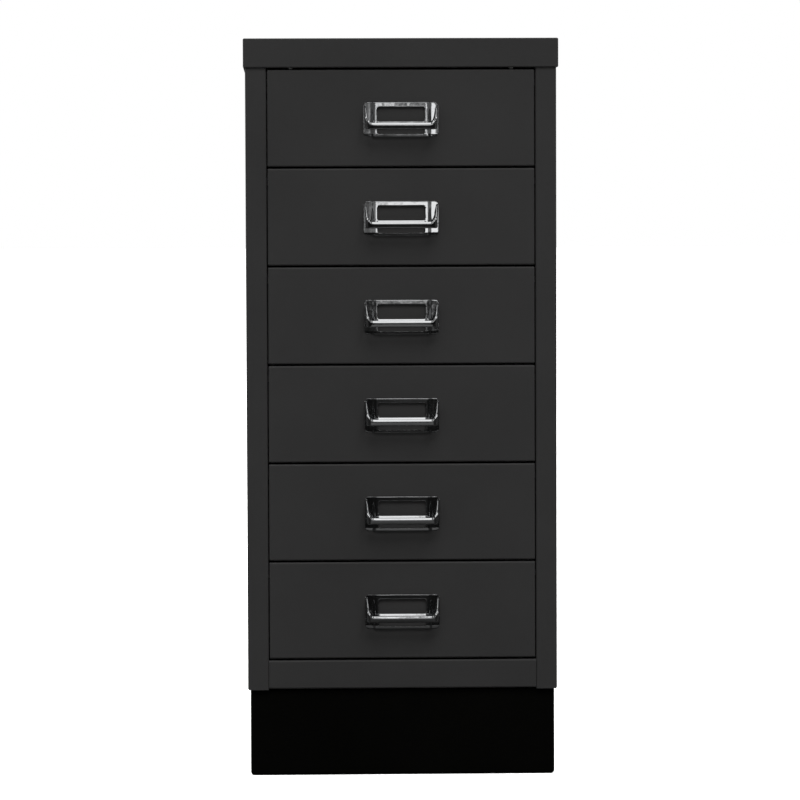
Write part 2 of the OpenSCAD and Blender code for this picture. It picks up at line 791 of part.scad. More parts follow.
// Strap with rounded corners, whose cheeks widen to their roots on the ears
module pull_strap(z0) {
    top = z0 + pull_h - strap_drop;
    low = top - strap_h;
    climb = strap_drop - cheek_drop;
    corner = strap_root - cheek_lean;
    front = y_front - strap_reach;
    root = y_front - pull_t / 2;
    intersection() {
        along_z(
            low, top + climb,
            folded(
                [[-strap_root, y_front], [-corner, front], [corner, front], [strap_root, y_front]],
                pull_t, strap_corner_r - pull_t, curve_steps
            )
        );
        along_x(
            -pull_w / 2, pull_w / 2,
            [
                [front - over, low], [root, low],
                [root, top + climb], [y_front - cheek_flat, top + climb],
                each strap_edge(top, climb), [front - over, top]
            ]
        );
    }
}

module drawer_handle(i) {
    z0 = pull_z(i);
    tab_end = y_front + drawer_t + pull_t;
    window_top = z0 + pull_h - window_drop;
    window_z = window_top - window_h;
    slot_z = z0 + foot_rail_h;
    slot_top = window_z - mid_rail_h;
    color(chrome) {
        difference() {
            pull_plate(z0);
            frame_opening(window_z, window_top, window_r);
            frame_opening(slot_z, slot_top, slot_rounding * (slot_top - slot_z));
        }
        translate([-frame_half, frame_y - pull_t, window_z - bead_r]) rotate([0, 90, 0])
            cylinder(r = bead_r, h = 2 * frame_half);
        pull_strap(z0);
        both_sides() for (z = tab_zs(i))
            along_z(
                z, z + tab_w,
                folded(
                    [
                        [-pull_w / 2, y_front - pull_t / 2], [-pull_w / 2, tab_end],
                        [-pull_w / 2 + tab_hook, tab_end]
                    ],
                    -pull_t, fold_r
                )
            );
    }
}

// ---- Assembly ---------------------------------------------------------------

top_cap();
back_panel();
base_pan();
top_cross_rail();
for (s = sides) {
    side_panel(s);
    upright(s, upright_ys[0]);
    upright(s, upright_ys[1]);
    for (i = drawers) runner(i, s);
}
runner_pads();
top_stop_buffers();
cap_nuts();
back_rivets();
plinth();
plinth_bolts();
plinth_nuts();
for (i = drawers) {
    drawer_front(i);
    drawer_tray(i);
    drawer_handle(i);
    drawer_glides(i);
    drawer_rivets(i);
}
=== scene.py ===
import json
import math

import bmesh
import bpy
import numpy as np
from mathutils import Matrix, Vector

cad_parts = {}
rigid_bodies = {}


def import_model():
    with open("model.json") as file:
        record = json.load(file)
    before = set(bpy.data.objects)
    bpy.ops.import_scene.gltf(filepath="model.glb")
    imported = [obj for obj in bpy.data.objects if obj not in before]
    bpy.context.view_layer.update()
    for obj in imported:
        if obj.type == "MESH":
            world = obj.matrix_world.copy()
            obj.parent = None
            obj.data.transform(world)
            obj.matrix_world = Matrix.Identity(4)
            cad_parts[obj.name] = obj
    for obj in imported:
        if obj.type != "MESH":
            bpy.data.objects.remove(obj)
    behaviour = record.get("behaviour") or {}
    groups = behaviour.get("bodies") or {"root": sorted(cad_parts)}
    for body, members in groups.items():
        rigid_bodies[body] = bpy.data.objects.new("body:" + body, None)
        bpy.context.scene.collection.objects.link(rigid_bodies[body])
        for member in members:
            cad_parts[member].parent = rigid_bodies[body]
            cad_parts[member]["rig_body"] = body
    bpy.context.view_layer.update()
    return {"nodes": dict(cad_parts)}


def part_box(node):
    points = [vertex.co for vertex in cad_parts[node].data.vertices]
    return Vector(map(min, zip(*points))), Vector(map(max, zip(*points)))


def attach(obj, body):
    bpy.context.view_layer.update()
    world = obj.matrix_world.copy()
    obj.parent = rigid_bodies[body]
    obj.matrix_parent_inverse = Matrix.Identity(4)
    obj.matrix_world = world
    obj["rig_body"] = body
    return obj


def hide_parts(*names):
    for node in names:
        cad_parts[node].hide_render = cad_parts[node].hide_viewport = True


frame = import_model()
nodes = frame["nodes"]
drawerCount = sum(name.endswith("_tray") for name in nodes)
mm = 0.001
print("frame loaded:", len(nodes), "nodes,", drawerCount, "drawers")


# Curves and grids. Lengths are millimetres until a piece is put together.

def smoothStep(value, start, end):
    # 0 before start, 1 after end, and 3t^2 - 2t^3 between them
    t = np.clip((value - start) / (end - start), 0, 1)
    return t * t * (3 - 2 * t)


def bent(points, radii, steps=8, closed=False):
    # A polyline whose corners are arcs: each arc touches both sides radius * tan(turn / 2) from the corner
    points = np.asarray(points, float)
    count = len(points)
    radii = np.broadcast_to(radii, count)
    out = []
    for k, corner in enumerate(points):
        if radii[k] <= 0 or (not closed and k in (0, count - 1)):
            out.append(corner[None])
            continue
        a = corner - points[k - 1]
        b = points[(k + 1) % count] - corner
        a, b = a / np.linalg.norm(a), b / np.linalg.norm(b)
        turn = math.acos(np.clip(a @ b, -1, 1))
        side = math.copysign(1, a[0] * b[1] - a[1] * b[0])
        left = side * np.array([-a[1], a[0]])
        centre = corner - a * radii[k] * math.tan(turn / 2) + left * radii[k]
        angle = np.linspace(0, turn, steps + 1)[:, None]
        out.append(centre + radii[k] * (np.sin(angle) * a - np.cos(angle) * left))
    return np.concatenate(out)


def normals2d(line):
    # Unit normals of an open line, to its left, from central differences
    step = np.gradient(line, axis=0)
    step /= np.linalg.norm(step, axis=1)[:, None]
    return np.stack([-step[:, 1], step[:, 0]], 1)


def sheetSection(points, thickness, radius, steps=8, capSteps=4):
    # Closed section of a folded sheet: its middle line moved half the thickness each way, with round ends
    points = np.asarray(points, float)
    line = bent(points, radius, steps)
    normal = normals2d(line)
    for k, (p, q) in ((0, points[:2]), (-1, points[-2:])):
        d = (q - p) / np.linalg.norm(q - p)
        normal[k] = [-d[1], d[0]]
    half = thickness / 2
    turn = np.linspace(0, math.pi, capSteps + 2)[1:-1, None]

    def cap(k, sign):
        forward = sign * np.array([normal[k][1], -normal[k][0]])
        return line[k] + half * (sign * np.cos(turn) * normal[k] + np.sin(turn) * forward)

    return np.concatenate([line + half * normal, cap(-1, 1), (line - half * normal)[::-1], cap(0, -1)])


def quads(rows, columns, wrapRows):
    # Corners of each cell of a grid whose columns close on themselves
    i = np.arange(rows if wrapRows else rows - 1)[:, None]
    j = np.arange(columns)[None]
    nextI, nextJ = (i + 1) % rows, (j + 1) % columns
    corners = [i * columns + j, i * columns + nextJ, nextI * columns + nextJ, nextI * columns + j]
    return np.stack(np.broadcast_arrays(*corners), -1).reshape(-1, 4)


def surface(grid, wrapRows=False):
    # Points and faces of a grid of shape (rows, columns, 3), whose first and last rows get a face each
    # unless the rows close on themselves too
    rows, columns = grid.shape[:2]
    faces = quads(rows, columns, wrapRows).tolist()
    if not wrapRows:
        faces += [list(range(columns))[::-1], list(range((rows - 1) * columns, rows * columns))]
    return grid.reshape(-1, 3), faces


def carried(section, axis, start, end, edge=0.12):
    # A closed section carried straight along an axis, drawn in by edge at both ends to soften them
    section = np.asarray(section, float)
    step = np.roll(section, -1, 0) - np.roll(section, 1, 0)
    step /= np.maximum(np.linalg.norm(step, axis=1), 1e-9)[:, None]
    x, y = section[:, 0], section[:, 1]
    area = 0.5 * np.sum(x * np.roll(y, -1) - y * np.roll(x, -1))
    inward = np.stack([-step[:, 1], step[:, 0]], 1) * math.copysign(1, area)
    angle = np.linspace(0, math.pi / 2, 3)
    draw = np.concatenate([edge * (1 - np.sin(angle)), edge * (1 - np.cos(angle))])
    place = np.concatenate([start + edge * (1 - np.cos(angle)), end - edge + edge * np.sin(angle)])
    flat = section[None] + draw[:, None, None] * inward[None]
    along = np.broadcast_to(place[:, None, None], flat.shape[:2] + (1,))
    order = {"x": (2, 0, 1), "z": (0, 1, 2)}[axis]
    return surface(np.concatenate([flat, along], 2)[:, :, order])


def cornered(halfA, halfB, radius, steps=6):
    # Rounded rectangles, one for each row of sizes: quarter circles round the four corner centres. The last
    # value is 0 where a point faces along a and 1 where it faces along b.
    halfA, halfB, radius = (np.asarray(v, float)[:, None] for v in np.broadcast_arrays(halfA, halfB, radius))
    angle = np.concatenate([np.linspace(0, math.pi / 2, steps) + k * math.pi / 2 for k in range(4)])
    signA = np.repeat([1, -1, -1, 1], steps)
    signB = np.repeat([1, 1, -1, -1], steps)
    a = signA * (halfA - radius) + radius * np.cos(angle)
    b = signB * (halfB - radius) + radius * np.sin(angle)
    return a, b, np.abs(np.sin(angle))


def turnedRound(profile, centre, steps=32):
    # A profile of (radius, height) turned round an upright axis through centre
    profile = np.asarray(profile, float)
    angle = np.linspace(0, 2 * math.pi, steps, endpoint=False)
    r, h = profile[:, :1], profile[:, 1:]
    ring = np.stack([r * np.cos(angle), r * np.sin(angle), np.broadcast_to(h, (len(profile), steps))], 2)
    return surface(ring + np.asarray(centre, float))


def box(node):
    # Low and high corner of a node in millimetres
    low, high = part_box(node)
    return np.array(low) / mm, np.array(high) / mm


# Pieces. Distances are metres here, and angles are degrees.

meshForm = {"weld": 1e-7, "weldFolded": 2e-6, "flatFold": 0.5, "sharp": 38, "sharpFolded": 30}


def finishPiece(piece, material, body, replaced, sharp):
    # Smooth shading with creases where faces turn by more than sharp, then the piece's material and its place
    # in the frame
    mesh = piece.data
    mesh.shade_smooth()
    mesh.set_sharp_from_angle(angle=math.radians(sharp))
    mesh.materials.clear()
    mesh.materials.append(material)
    weighted = piece.modifiers.new("evenShading", "WEIGHTED_NORMAL")
    weighted.keep_sharp = True
    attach(piece, body)
    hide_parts(*replaced)


def makePiece(name, surfaces, material, body, slot, *replaced, sharp=meshForm["sharp"]):
    # Joins surfaces given in millimetres into one mesh with its faces pointing outwards
    points, faces, first = [], [], 0
    for part, partFaces in surfaces:
        points.append(part)
        faces += [[index + first for index in face] for face in partFaces]
        first += len(part)
    mesh = bpy.data.meshes.new(name)
    mesh.from_pydata((np.concatenate(points) * mm).tolist(), [], faces)
    work = bmesh.new()
    work.from_mesh(mesh)
    bmesh.ops.remove_doubles(work, verts=work.verts, dist=meshForm["weld"])
    bmesh.ops.recalc_face_normals(work, faces=work.faces)
    work.to_mesh(mesh)
    work.free()
    piece = bpy.data.objects.new(name, mesh)
    bpy.context.scene.collection.objects.link(piece)
    finishPiece(piece, material, body, replaced, sharp)


def dressNode(node, material):
    # A merged copy of a node's mesh, so that its folds shade as bends
    mesh = nodes[node].data.copy()
    mesh.name = "merged_" + node
    work = bmesh.new()
    work.from_mesh(mesh)
    bmesh.ops.remove_doubles(work, verts=work.verts, dist=meshForm["weldFolded"])
    bmesh.ops.dissolve_limit(work, angle_limit=math.radians(meshForm["flatFold"]), verts=work.verts,
                             edges=work.edges)
    work.to_mesh(mesh)
    work.free()
    if mesh.has_custom_normals:
        mesh.attributes.remove(mesh.attributes["custom_normal"])
    piece = bpy.data.objects.new(node + "_finished", mesh)
    bpy.context.scene.collection.objects.link(piece)
    finishPiece(piece, material, nodes[node]["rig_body"], [node], meshForm["sharpFolded"])


# Materials

class Wire:
    # An output socket that takes part in Python expressions
    def __init__(self, finish, socket):
        self.finish, self.socket = finish, socket

    def __add__(self, other):
        return self.finish.maths("ADD", self, other)

    def __sub__(self, other):
        return self.finish.maths("SUBTRACT", self, other)

    def __rsub__(self, other):
        return self.finish.maths("SUBTRACT", other, self)

    def __mul__(self, other):
        return self.finish.maths("MULTIPLY", self, other)

    __radd__, __rmul__ = __add__, __mul__


class Finish:
    # One material under construction
    def __init__(self, name, fixed):
        self.material = bpy.data.materials.new(name)
        self.material.use_nodes = True
        self.tree = self.material.node_tree
        self.shader = self.tree.nodes["Principled BSDF"]
        for socket, value in fixed.items():
            self.shader.inputs[socket].default_value = value
        self.place = self.add("ShaderNodeTexCoord", {}, {}, "Object")

    def add(self, kind, settings, inputs, out=0):
        node = self.tree.nodes.new(kind)
        for name, value in settings.items():
            if name == "stops":
                self.setStops(node.color_ramp, value)
            else:
                setattr(node, name, value)
        for name, value in inputs.items():
            if isinstance(value, Wire):
                self.tree.links.new(value.socket, node.inputs[name])
            else:
                node.inputs[name].default_value = value
        return Wire(self, node.outputs[out])

    def setStops(self, ramp, stops):
        while len(ramp.elements) < len(stops):
            ramp.elements.new(1)
        for element, (position, value) in zip(ramp.elements, stops):
            element.position = position
            element.color = (value, value, value, 1)

    def maths(self, operation, a, b):
        return self.add("ShaderNodeMath", {"operation": operation}, {0: a, 1: b})

    def mix(self, factor, a, b):
        return self.add("ShaderNodeMix", {"data_type": "RGBA"}, {0: factor, 6: a, 7: b}, 2)

    def noise(self, size, detail=2.0, rough=0.5, place=None):
        # Noise whose grain is about size millimetres
        return self.add("ShaderNodeTexNoise", {}, {
            "Vector": place or self.place, "Scale": 1 / (size * mm), "Detail": detail, "Roughness": rough})

    def cells(self, size, out="Distance"):
        # Cells about size millimetres across
        return self.add("ShaderNodeTexVoronoi", {}, {"Vector": self.place, "Scale": 1 / (size * mm)}, out)

    def stretched(self, scale):
        return self.add("ShaderNodeMapping", {}, {"Vector": self.place, "Scale": scale})

    def ramp(self, value, *stops):
        return self.add("ShaderNodeValToRGB", {"stops": stops}, {"Fac": value})

    def relief(self, height, depth, before=None):
        inputs = {"Height": height, "Distance": depth * mm, "Strength": 1.0}
        if before:
            inputs["Normal"] = before
        return self.add("ShaderNodeBump", {}, inputs)

    def feed(self, **links):
        for name, value in links.items():
            self.tree.links.new(value.socket, self.shader.inputs[name.replace("_", " ")])
        return self.material


def grey(value, tint=(1, 1, 1)):
    return tuple(value * t for t in tint) + (1,)


def satinPaint(name, look):
    # Baked powder paint: a fine skin, slow tone changes and a slightly uneven gloss
    finish = Finish(name, {"Specular IOR Level": look["gloss"]})
    cloud = finish.noise(look["cloudSize"], 3)
    skin = finish.noise(look["skinSize"], 2, 0.6)
    speck = finish.cells(look["speckSize"])
    tone = finish.ramp(cloud * look["cloudShare"] + skin * (1 - look["cloudShare"]), *look["toneStops"])
    colour = finish.mix(tone, grey(look["dark"], look["tint"]), grey(look["light"], look["tint"]))
    uneven = finish.noise(look["smearSize"], 4) * look["smear"] + skin * look["skinRoughness"]
    wave = finish.relief(finish.noise(look["waveSize"], 1), look["waveDepth"])
    normal = finish.relief(skin + speck * look["speckShare"], look["skinDepth"], wave)
    return finish.feed(Base_Color=colour, Roughness=uneven + look["roughness"], Normal=normal)


bodyLook = {
    "dark": 0.0180, "light": 0.0220, "tint": (1.01, 1.0, 1.0), "gloss": 0.32, "roughness": 0.4,
    "smear": 0.1, "smearSize": 60, "cloudSize": 90, "cloudShare": 0.55, "toneStops": ((0.3, 0), (0.7, 1)),
    "skinSize": 0.9, "skinDepth": 0.012, "skinRoughness": 0.04, "speckSize": 0.55, "speckShare": 0.5,
    "waveSize": 120, "waveDepth": 0.25,
}
plinthLook = dict(bodyLook, dark=0.0008, light=0.0013, tint=(1.05, 1.05, 0.85), gloss=0.05, roughness=0.42)
bodyPaint = satinPaint("bodyPaint", bodyLook)
plinthPaint = satinPaint("plinthPaint", plinthLook)


def brightChrome(name, look):
    # Plated steel: fine cross scratches and a faint haze
    finish = Finish(name, {"Metallic": 1.0})
    haze = finish.noise(look["hazeSize"], 4)
    hairs = finish.noise(look["hairSize"], 3, 0.7, finish.stretched(look["hairStretch"]))
    hairMask = finish.ramp(hairs, *look["hairStops"])
    colour = finish.mix(haze, look["dark"], look["light"])
    roughness = haze * look["haze"] + hairMask * look["hair"] + look["roughness"]
    normal = finish.relief(finish.noise(look["rippleSize"], 2), look["rippleDepth"])
    return finish.feed(Base_Color=colour, Roughness=roughness, Normal=normal)


chromeLook = {
    "dark": (0.70, 0.71, 0.72, 1), "light": (0.84, 0.85, 0.86, 1), "roughness": 0.04, "haze": 0.05,
    "hazeSize": 9, "rippleSize": 9, "rippleDepth": 0.12,
    "hair": 0.05, "hairSize": 0.5, "hairStretch": (0.12, 1, 1), "hairStops": ((0.52, 0), (0.7, 1)),
}
chrome = brightChrome("chrome", chromeLook)


def zincCoat(name, look):
    # Zinc-plated steel: crystals of slightly different tone and gloss, and white bloom
    finish = Finish(name, {"Metallic": look["metallic"]})
    crystal = finish.cells(look["crystal"], "Color")
    crystalTone = finish.add("ShaderNodeSeparateColor", {}, {0: crystal})
    bloom = finish.ramp(finish.noise(look["bloomSize"], 5, 0.65), *look["bloomStops"])
    metal = finish.mix(crystalTone, look["dark"], look["light"])
    colour = finish.mix(bloom * look["bloom"], metal, look["salt"])
    roughness = crystalTone * look["spread"] + bloom * look["bloomRoughness"] + look["roughness"]
    normal = finish.relief(finish.noise(look["grain"], 3), look["grainDepth"])
    return finish.feed(Base_Color=colour, Roughness=roughness, Normal=normal)


zincLook = {
    "dark": (0.40, 0.41, 0.42, 1), "light": (0.60, 0.61, 0.62, 1), "salt": (0.55, 0.56, 0.57, 1),
    "metallic": 0.9, "crystal": 5, "spread": 0.14, "roughness": 0.28, "grain": 0.6, "grainDepth": 0.01,
    "bloom": 0.5, "bloomSize": 14, "bloomStops": ((0.48, 0), (0.72, 1)), "bloomRoughness": 0.12,
}
zinc = zincCoat("zinc", zincLook)


def mouldedPlastic(name, look):
    # Moulded plastic: a spark-eroded grain with slightly darker hollows
    finish = Finish(name, {"Specular IOR Level": look["gloss"]})
    texture = finish.noise(look["grain"], 3, 0.6)
    dirt = finish.ramp(finish.noise(look["dirtSize"], 4), *look["dirtStops"])
    colour = finish.mix(texture * look["grainShare"] + dirt * look["dirtShare"], look["light"], look["dark"])
    roughness = texture * look["grainRoughness"] + look["roughness"]
    normal = finish.relief(texture, look["grainDepth"])
    return finish.feed(Base_Color=colour, Roughness=roughness, Normal=normal)


nylonLook = {
    "light": (0.66, 0.65, 0.61, 1), "dark": (0.54, 0.53, 0.49, 1), "gloss": 0.4, "roughness": 0.38,
    "grain": 0.5, "grainShare": 0.5, "grainRoughness": 0.15, "grainDepth": 0.03,
    "dirtSize": 12, "dirtShare": 0.5, "dirtStops": ((0.4, 0), (0.75, 1)),
}
rubberLook = dict(
    nylonLook, light=(0.36, 0.36, 0.35, 1), dark=(0.28, 0.28, 0.27, 1), roughness=0.6, grain=0.4)
nylon = mouldedPlastic("nylon", nylonLook)
rubber = mouldedPlastic("rubber", rubberLook)
print("materials made")


# Cap: a lid with sharp upper corners, its rim turned in below

capForm = {
    "wall": 0.9, "topRadius": 1.2, "edgeRadius": 1.35, "cornerRadius": 1.2, "leastCorner": 0.15,
    "turnedIn": 1.45, "topFlat": 8, "frontSideGap": 0.7, "lipDepth": 12, "lipGap": 0.3,
    "studRadius": 2.5, "studLength": 9, "studBevel": 0.4, "nutHalf": (4.7, 4.1),
}


def capShape():
    # Rows run from the middle of the top over its edge, down the rim, under it and back up inside
    form = capForm
    low, high = box("top_cap")
    half, centre = (high - low) / 2, (high + low) / 2
    t, top, edge = form["wall"], form["topRadius"], form["edgeRadius"]
    down = np.linspace(0, math.pi / 2, 7)
    height = high[2] - low[2]
    rows = np.concatenate([
        [[top + form["topFlat"], height]],
        np.stack([top * (1 - np.sin(down)), height - top * (1 - np.cos(down))], 1),
        np.stack([edge * (1 - np.cos(down)), edge * (1 - np.sin(down))], 1),
        [[form["turnedIn"], 0], [form["turnedIn"], t]],
        np.stack([t + (edge - t) * (1 - np.sin(down)), t + (edge - t) * (1 - np.cos(down))], 1),
        np.stack([t + (top - t) * (1 - np.cos(down)), height - t - (top - t) * (1 - np.sin(down))], 1),
        [[top + form["topFlat"], height - t]],
    ])
    inset, level = rows.T
    corner = np.maximum(form["cornerRadius"] - inset, form["leastCorner"])
    x, y, _ = cornered(half[0] - inset, half[1] - inset, corner)
    z = np.broadcast_to(level[:, None] + low[2], x.shape)
    return surface(np.stack([x + centre[0], y + centre[1], z], 2))


def cabinetCap():
    # The lid, a deeper lip above the drawers' opening and the four weld studs that its nuts sit on
    form = capForm
    low, high = box("top_cap")
    opening = box("drawer_1_front")[1][0] + form["frontSideGap"]
    railFront = box("top_cross_rail")[0][1]
    mid, t = low[2] + form["wall"] / 2, form["wall"]
    lip = sheetSection([[low[1] + form["edgeRadius"], mid], [railFront + form["lipDepth"], mid]], t, 0)
    parts = [capShape(), carried(lip, "x", -opening + form["lipGap"], opening - form["lipGap"])]
    nutLow, nutHigh = box("cap_nuts")
    r, length, bevel = form["studRadius"], form["studLength"], form["studBevel"]
    stud = [[r - bevel, -length], [r, bevel - length], [r, 0]]
    halfX, halfY = form["nutHalf"]
    reach = nutHigh[0] - halfX
    for x in (-reach, reach):
        for y in (nutLow[1] + halfY, nutHigh[1] - halfY):
            parts.append(turnedRound(stud, [x, y, high[2] - t]))
    makePiece("cap_shell", parts, bodyPaint, "cabinet", "body_paint", "top_cap")


cabinetCap()
print("cap made")


# Plinth: a ring of folded sheet with a rounded lower edge

plinthForm = {
    "wall": 1.2, "footRadius": 3.6, "topRadius": 1.7, "foot": 14, "flange": 20, "cornerRadius": 1.7,
    "leastCorner": 0.3,
}


def plinthRing():
    # Rows run round the sheet: out along the foot, up the wall, in along the flange and back inside
    form = plinthForm
    low, high = box("plinth")
    half, centre = (high - low) / 2, (high + low) / 2
    t, height = form["wall"] / 2, high[2] - low[2]
    middle = [[form["foot"], t], [t, t], [t, height - t], [form["flange"], height - t]]
    radii = [0, form["footRadius"] - t, form["topRadius"] - t, 0]
    section = sheetSection(middle, form["wall"], radii)
    inset, level = section.T
    corner = np.maximum(form["cornerRadius"] - inset, form["leastCorner"])
    x, y, _ = cornered(half[0] - inset, half[1] - inset, corner)
    z = np.broadcast_to(level[:, None] + low[2], x.shape)
    ring = surface(np.stack([x + centre[0], y + centre[1], z], 2), wrapRows=True)
    makePiece("plinth_frame", [ring], plinthPaint, "cabinet", "plinth_paint", "plinth")


plinthRing()
print("plinth made")


# Drawer fronts: pans with softly folded upper and lower edges

frontForm = {
    "wall": 0.8, "edgeRadius": 1.6, "sideRadius": 0.95, "cornerRadius": 1.0, "leastCorner": 0.15,
    "faceFlat": 6, "rimRound": 0.2, "lip": 17,
}


def frontPan(low, high):
    # A profile of (inset, depth) carried round the front's outline. The folds are rounder above and below
    # than at the sides, so inset and depth are worked out for both and mixed round the corners.
    form = frontForm
    half, centre = (high - low) / 2, (high + low) / 2
    depth, t, rim = high[1] - low[1], form["wall"], form["rimRound"]
    turn = np.linspace(0, math.pi / 2, 9)

    def profile(radius):
        inner = radius - t
        return np.concatenate([
            [[radius + form["faceFlat"], 0]],
            np.stack([radius * (1 - np.sin(turn)), radius * (1 - np.cos(turn))], 1),
            [[0, depth - rim], [rim, depth], [t - rim, depth], [t, depth - rim]],
            np.stack([t + inner * (1 - np.cos(turn)), t + inner * (1 - np.sin(turn))], 1),
            [[radius + form["faceFlat"], t]],
        ])

    sides, ends = profile(form["sideRadius"]), profile(form["edgeRadius"])
    corner = np.maximum(form["cornerRadius"] - sides[:, 0], form["leastCorner"])
    x, z, mixed = cornered(half[0] - sides[:, 0], half[2] - ends[:, 0], corner)
    level = sides[:, 1:] * (1 - mixed) + ends[:, 1:] * mixed
    return surface(np.stack([x + centre[0], level + low[1], z + centre[2]], 2))


def drawerFront(i):
    # The pan, and a lip bent inwards along each side behind it
    form = frontForm
    low, high = box(f"drawer_{i}_front")
    trayLow, trayHigh = box(f"drawer_{i}_tray")
    t = form["wall"]
    parts = [frontPan(low, high)]
    for side in (-1, 1):
        reach = [side * (high[0] - t / 2), side * (high[0] - form["lip"])]
        lip = sheetSection([[reach[0], high[1] - t / 2], [reach[1], high[1] - t / 2]], t, 0)
        parts.append(carried(lip, "z", trayLow[2], trayHigh[2] - 2 * t))
    makePiece(f"drawer_{i}_panel", parts, bodyPaint, f"drawer_{i}", "body_paint", f"drawer_{i}_front")


for i in range(1, drawerCount + 1):
    drawerFront(i)
print("drawer fronts made")


# Handles: a chromed pressing with a card window, a slot below it and a strap to pull by

pullForm = {
    # The pressing, its ears and the raised frame between them
    "width": 66.2, "height": 30.4, "sheet": 0.8, "cornerRadius": 3.4, "ear": 6.6, "earCrown": 0.08,
    "earTilt": 0.28, "joggle": 2.8, "pocket": 1.3, "frameSide": 2.4,
    # Window, slot and the rails below them
    "windowHeight": 13.15, "windowDrop": 3.95, "windowRadius": 2.6, "midRail": 4.25, "slotEdge": 6.0,
    "slotRadius": 2.2, "footRail": 2.2, "footLean": 0.25, "footSoft": 0.4,
    # Distances from an edge at which the plate has a row, and the spacing of the rays at its outlines
    "edgeRows": (0, 0.015, 0.06, 0.14, 0.26, 0.4), "innerRows": 13, "outerStep": 0.9, "openingStep": 1.2,
    # Ledge along the window's lower edge
    "beadHeight": 3.4, "beadTop": 0.02, "beadBulge": 1.1, "beadSlope": 1.85, "beadFoot": 0.25,
    "beadRoot": 0.4, "beadRadii": (0, 0.15, 0.45, 0.4, 0), "beadEnd": 2.0, "beadTaper": 1.2,
    "beadLeast": 0.02,
    # Strap and its cheeks
    "strapReach": 15, "strapHeight": 5.5, "strapDrop": 18.15, "strapRadius": 5.2, "strapStart": 0.2,
    "strapStep": 1.5, "cheekDrop": 2.2, "cheekLean": 0.8, "cheekFlat": 1.5, "cheekInset": 0.3,
    "climbSoft": 0.05,
    # Section of the strap
    "rimDepth": 1.2, "rimHeight": 1.9, "rimCurl": 0.5, "rimNose": 0.1, "rimSetIn": (0.05, 0.12), "rimNeck": 1,
    "rimRadii": (0, 0.35, 0.45, 0), "rimAtRoot": 0.45, "faceLean": 0.55, "hemRadius": 0.9, "hemTurn": 60,
    # Tabs behind the front
    "tabWidth": 5, "tabHook": 4.5, "tabInset": 4.6, "tabReach": 2.0, "tabBend": 0.5,
}


def fromEdge(x, b, halfX, low, high, radius):
    # Distance inwards from the outline of a rounded rectangle, as the usual distance to its corner circles
    dx = np.abs(x) - (halfX - radius)
    db = np.abs(b - (low + high) / 2) - ((high - low) / 2 - radius)
    outside = np.hypot(np.maximum(dx, 0), np.maximum(db, 0)) + np.minimum(np.maximum(dx, db), 0)
    return radius - outside


def platePoint(x, b, side):
    # The pressing as a height over the drawer front: ears with a slight crown, the frame raised between them
    # by a smooth step, its foot leaning back, and the edges rounded by thinning the sheet along a quarter
    # circle. x runs across, b down from the top, and side is 1 for the face and -1 for the back.
    form = pullForm
    t, half, height = form["sheet"] / 2, form["width"] / 2, form["height"]
    earEnd = half - form["ear"]
    frameHalf = earEnd - form["joggle"]
    window = form["windowDrop"] + form["windowHeight"]
    belowFoot = b - height + form["footRail"] + form["footSoft"]
    foot = form["footLean"] * np.clip(belowFoot / form["footRail"], 0, 2)

    def level(x):
        raised = form["pocket"] * (1 - smoothStep(np.abs(x), frameHalf, earEnd)) - foot
        across = np.clip((np.abs(x) - earEnd) / form["ear"], 0, 1)
        ear = form["earCrown"] * 4 * across * (1 - across) - form["earTilt"] * across
        return t + raised + ear * (across > 0)

    near = 0.05
    slope = (level(x + near) - level(x - near)) / (2 * near)
    normal = np.stack([-slope, -np.ones_like(x), np.zeros_like(x)], -1)
    normal /= np.linalg.norm(normal, axis=-1)[..., None]
    w = frameHalf - form["frameSide"]
    slot = fromEdge(x, b, w, window + form["midRail"], height - form["footRail"], form["slotRadius"])
    edge = np.minimum.reduce([
        fromEdge(x, b, half, 0, height, form["cornerRadius"]),
        -fromEdge(x, b, w, form["windowDrop"], window, form["windowRadius"]),
        -slot * form["slotEdge"],
    ])
    thick = np.sqrt(np.maximum(t * t - np.clip(t - edge, 0, t) ** 2, 0))
    return np.stack([x, -level(x), height - b], -1) + side * thick[..., None] * normal


def rays(outline, centre, spacing):
    # Angle and distance from centre of the points along a closed outline, with its straight sides divided
    following = np.roll(outline, -1, 0)
    count = np.ceil(np.linalg.norm(following - outline, axis=1) / spacing).astype(int)
    count = np.maximum(count, 1)
    parts = [np.linspace(p, q, n, endpoint=False) for p, q, n in zip(outline, following, count)]
    dense = np.concatenate(parts) - centre
    angle = np.arctan2(dense[:, 1], dense[:, 0])
    order = np.argsort(angle)
    return angle[order], np.linalg.norm(dense, axis=1)[order]


def atLeast(values, gap):
    # Sorted values without those that come closer than gap to the one before
    return values[np.concatenate([[True], np.diff(values) > gap])]


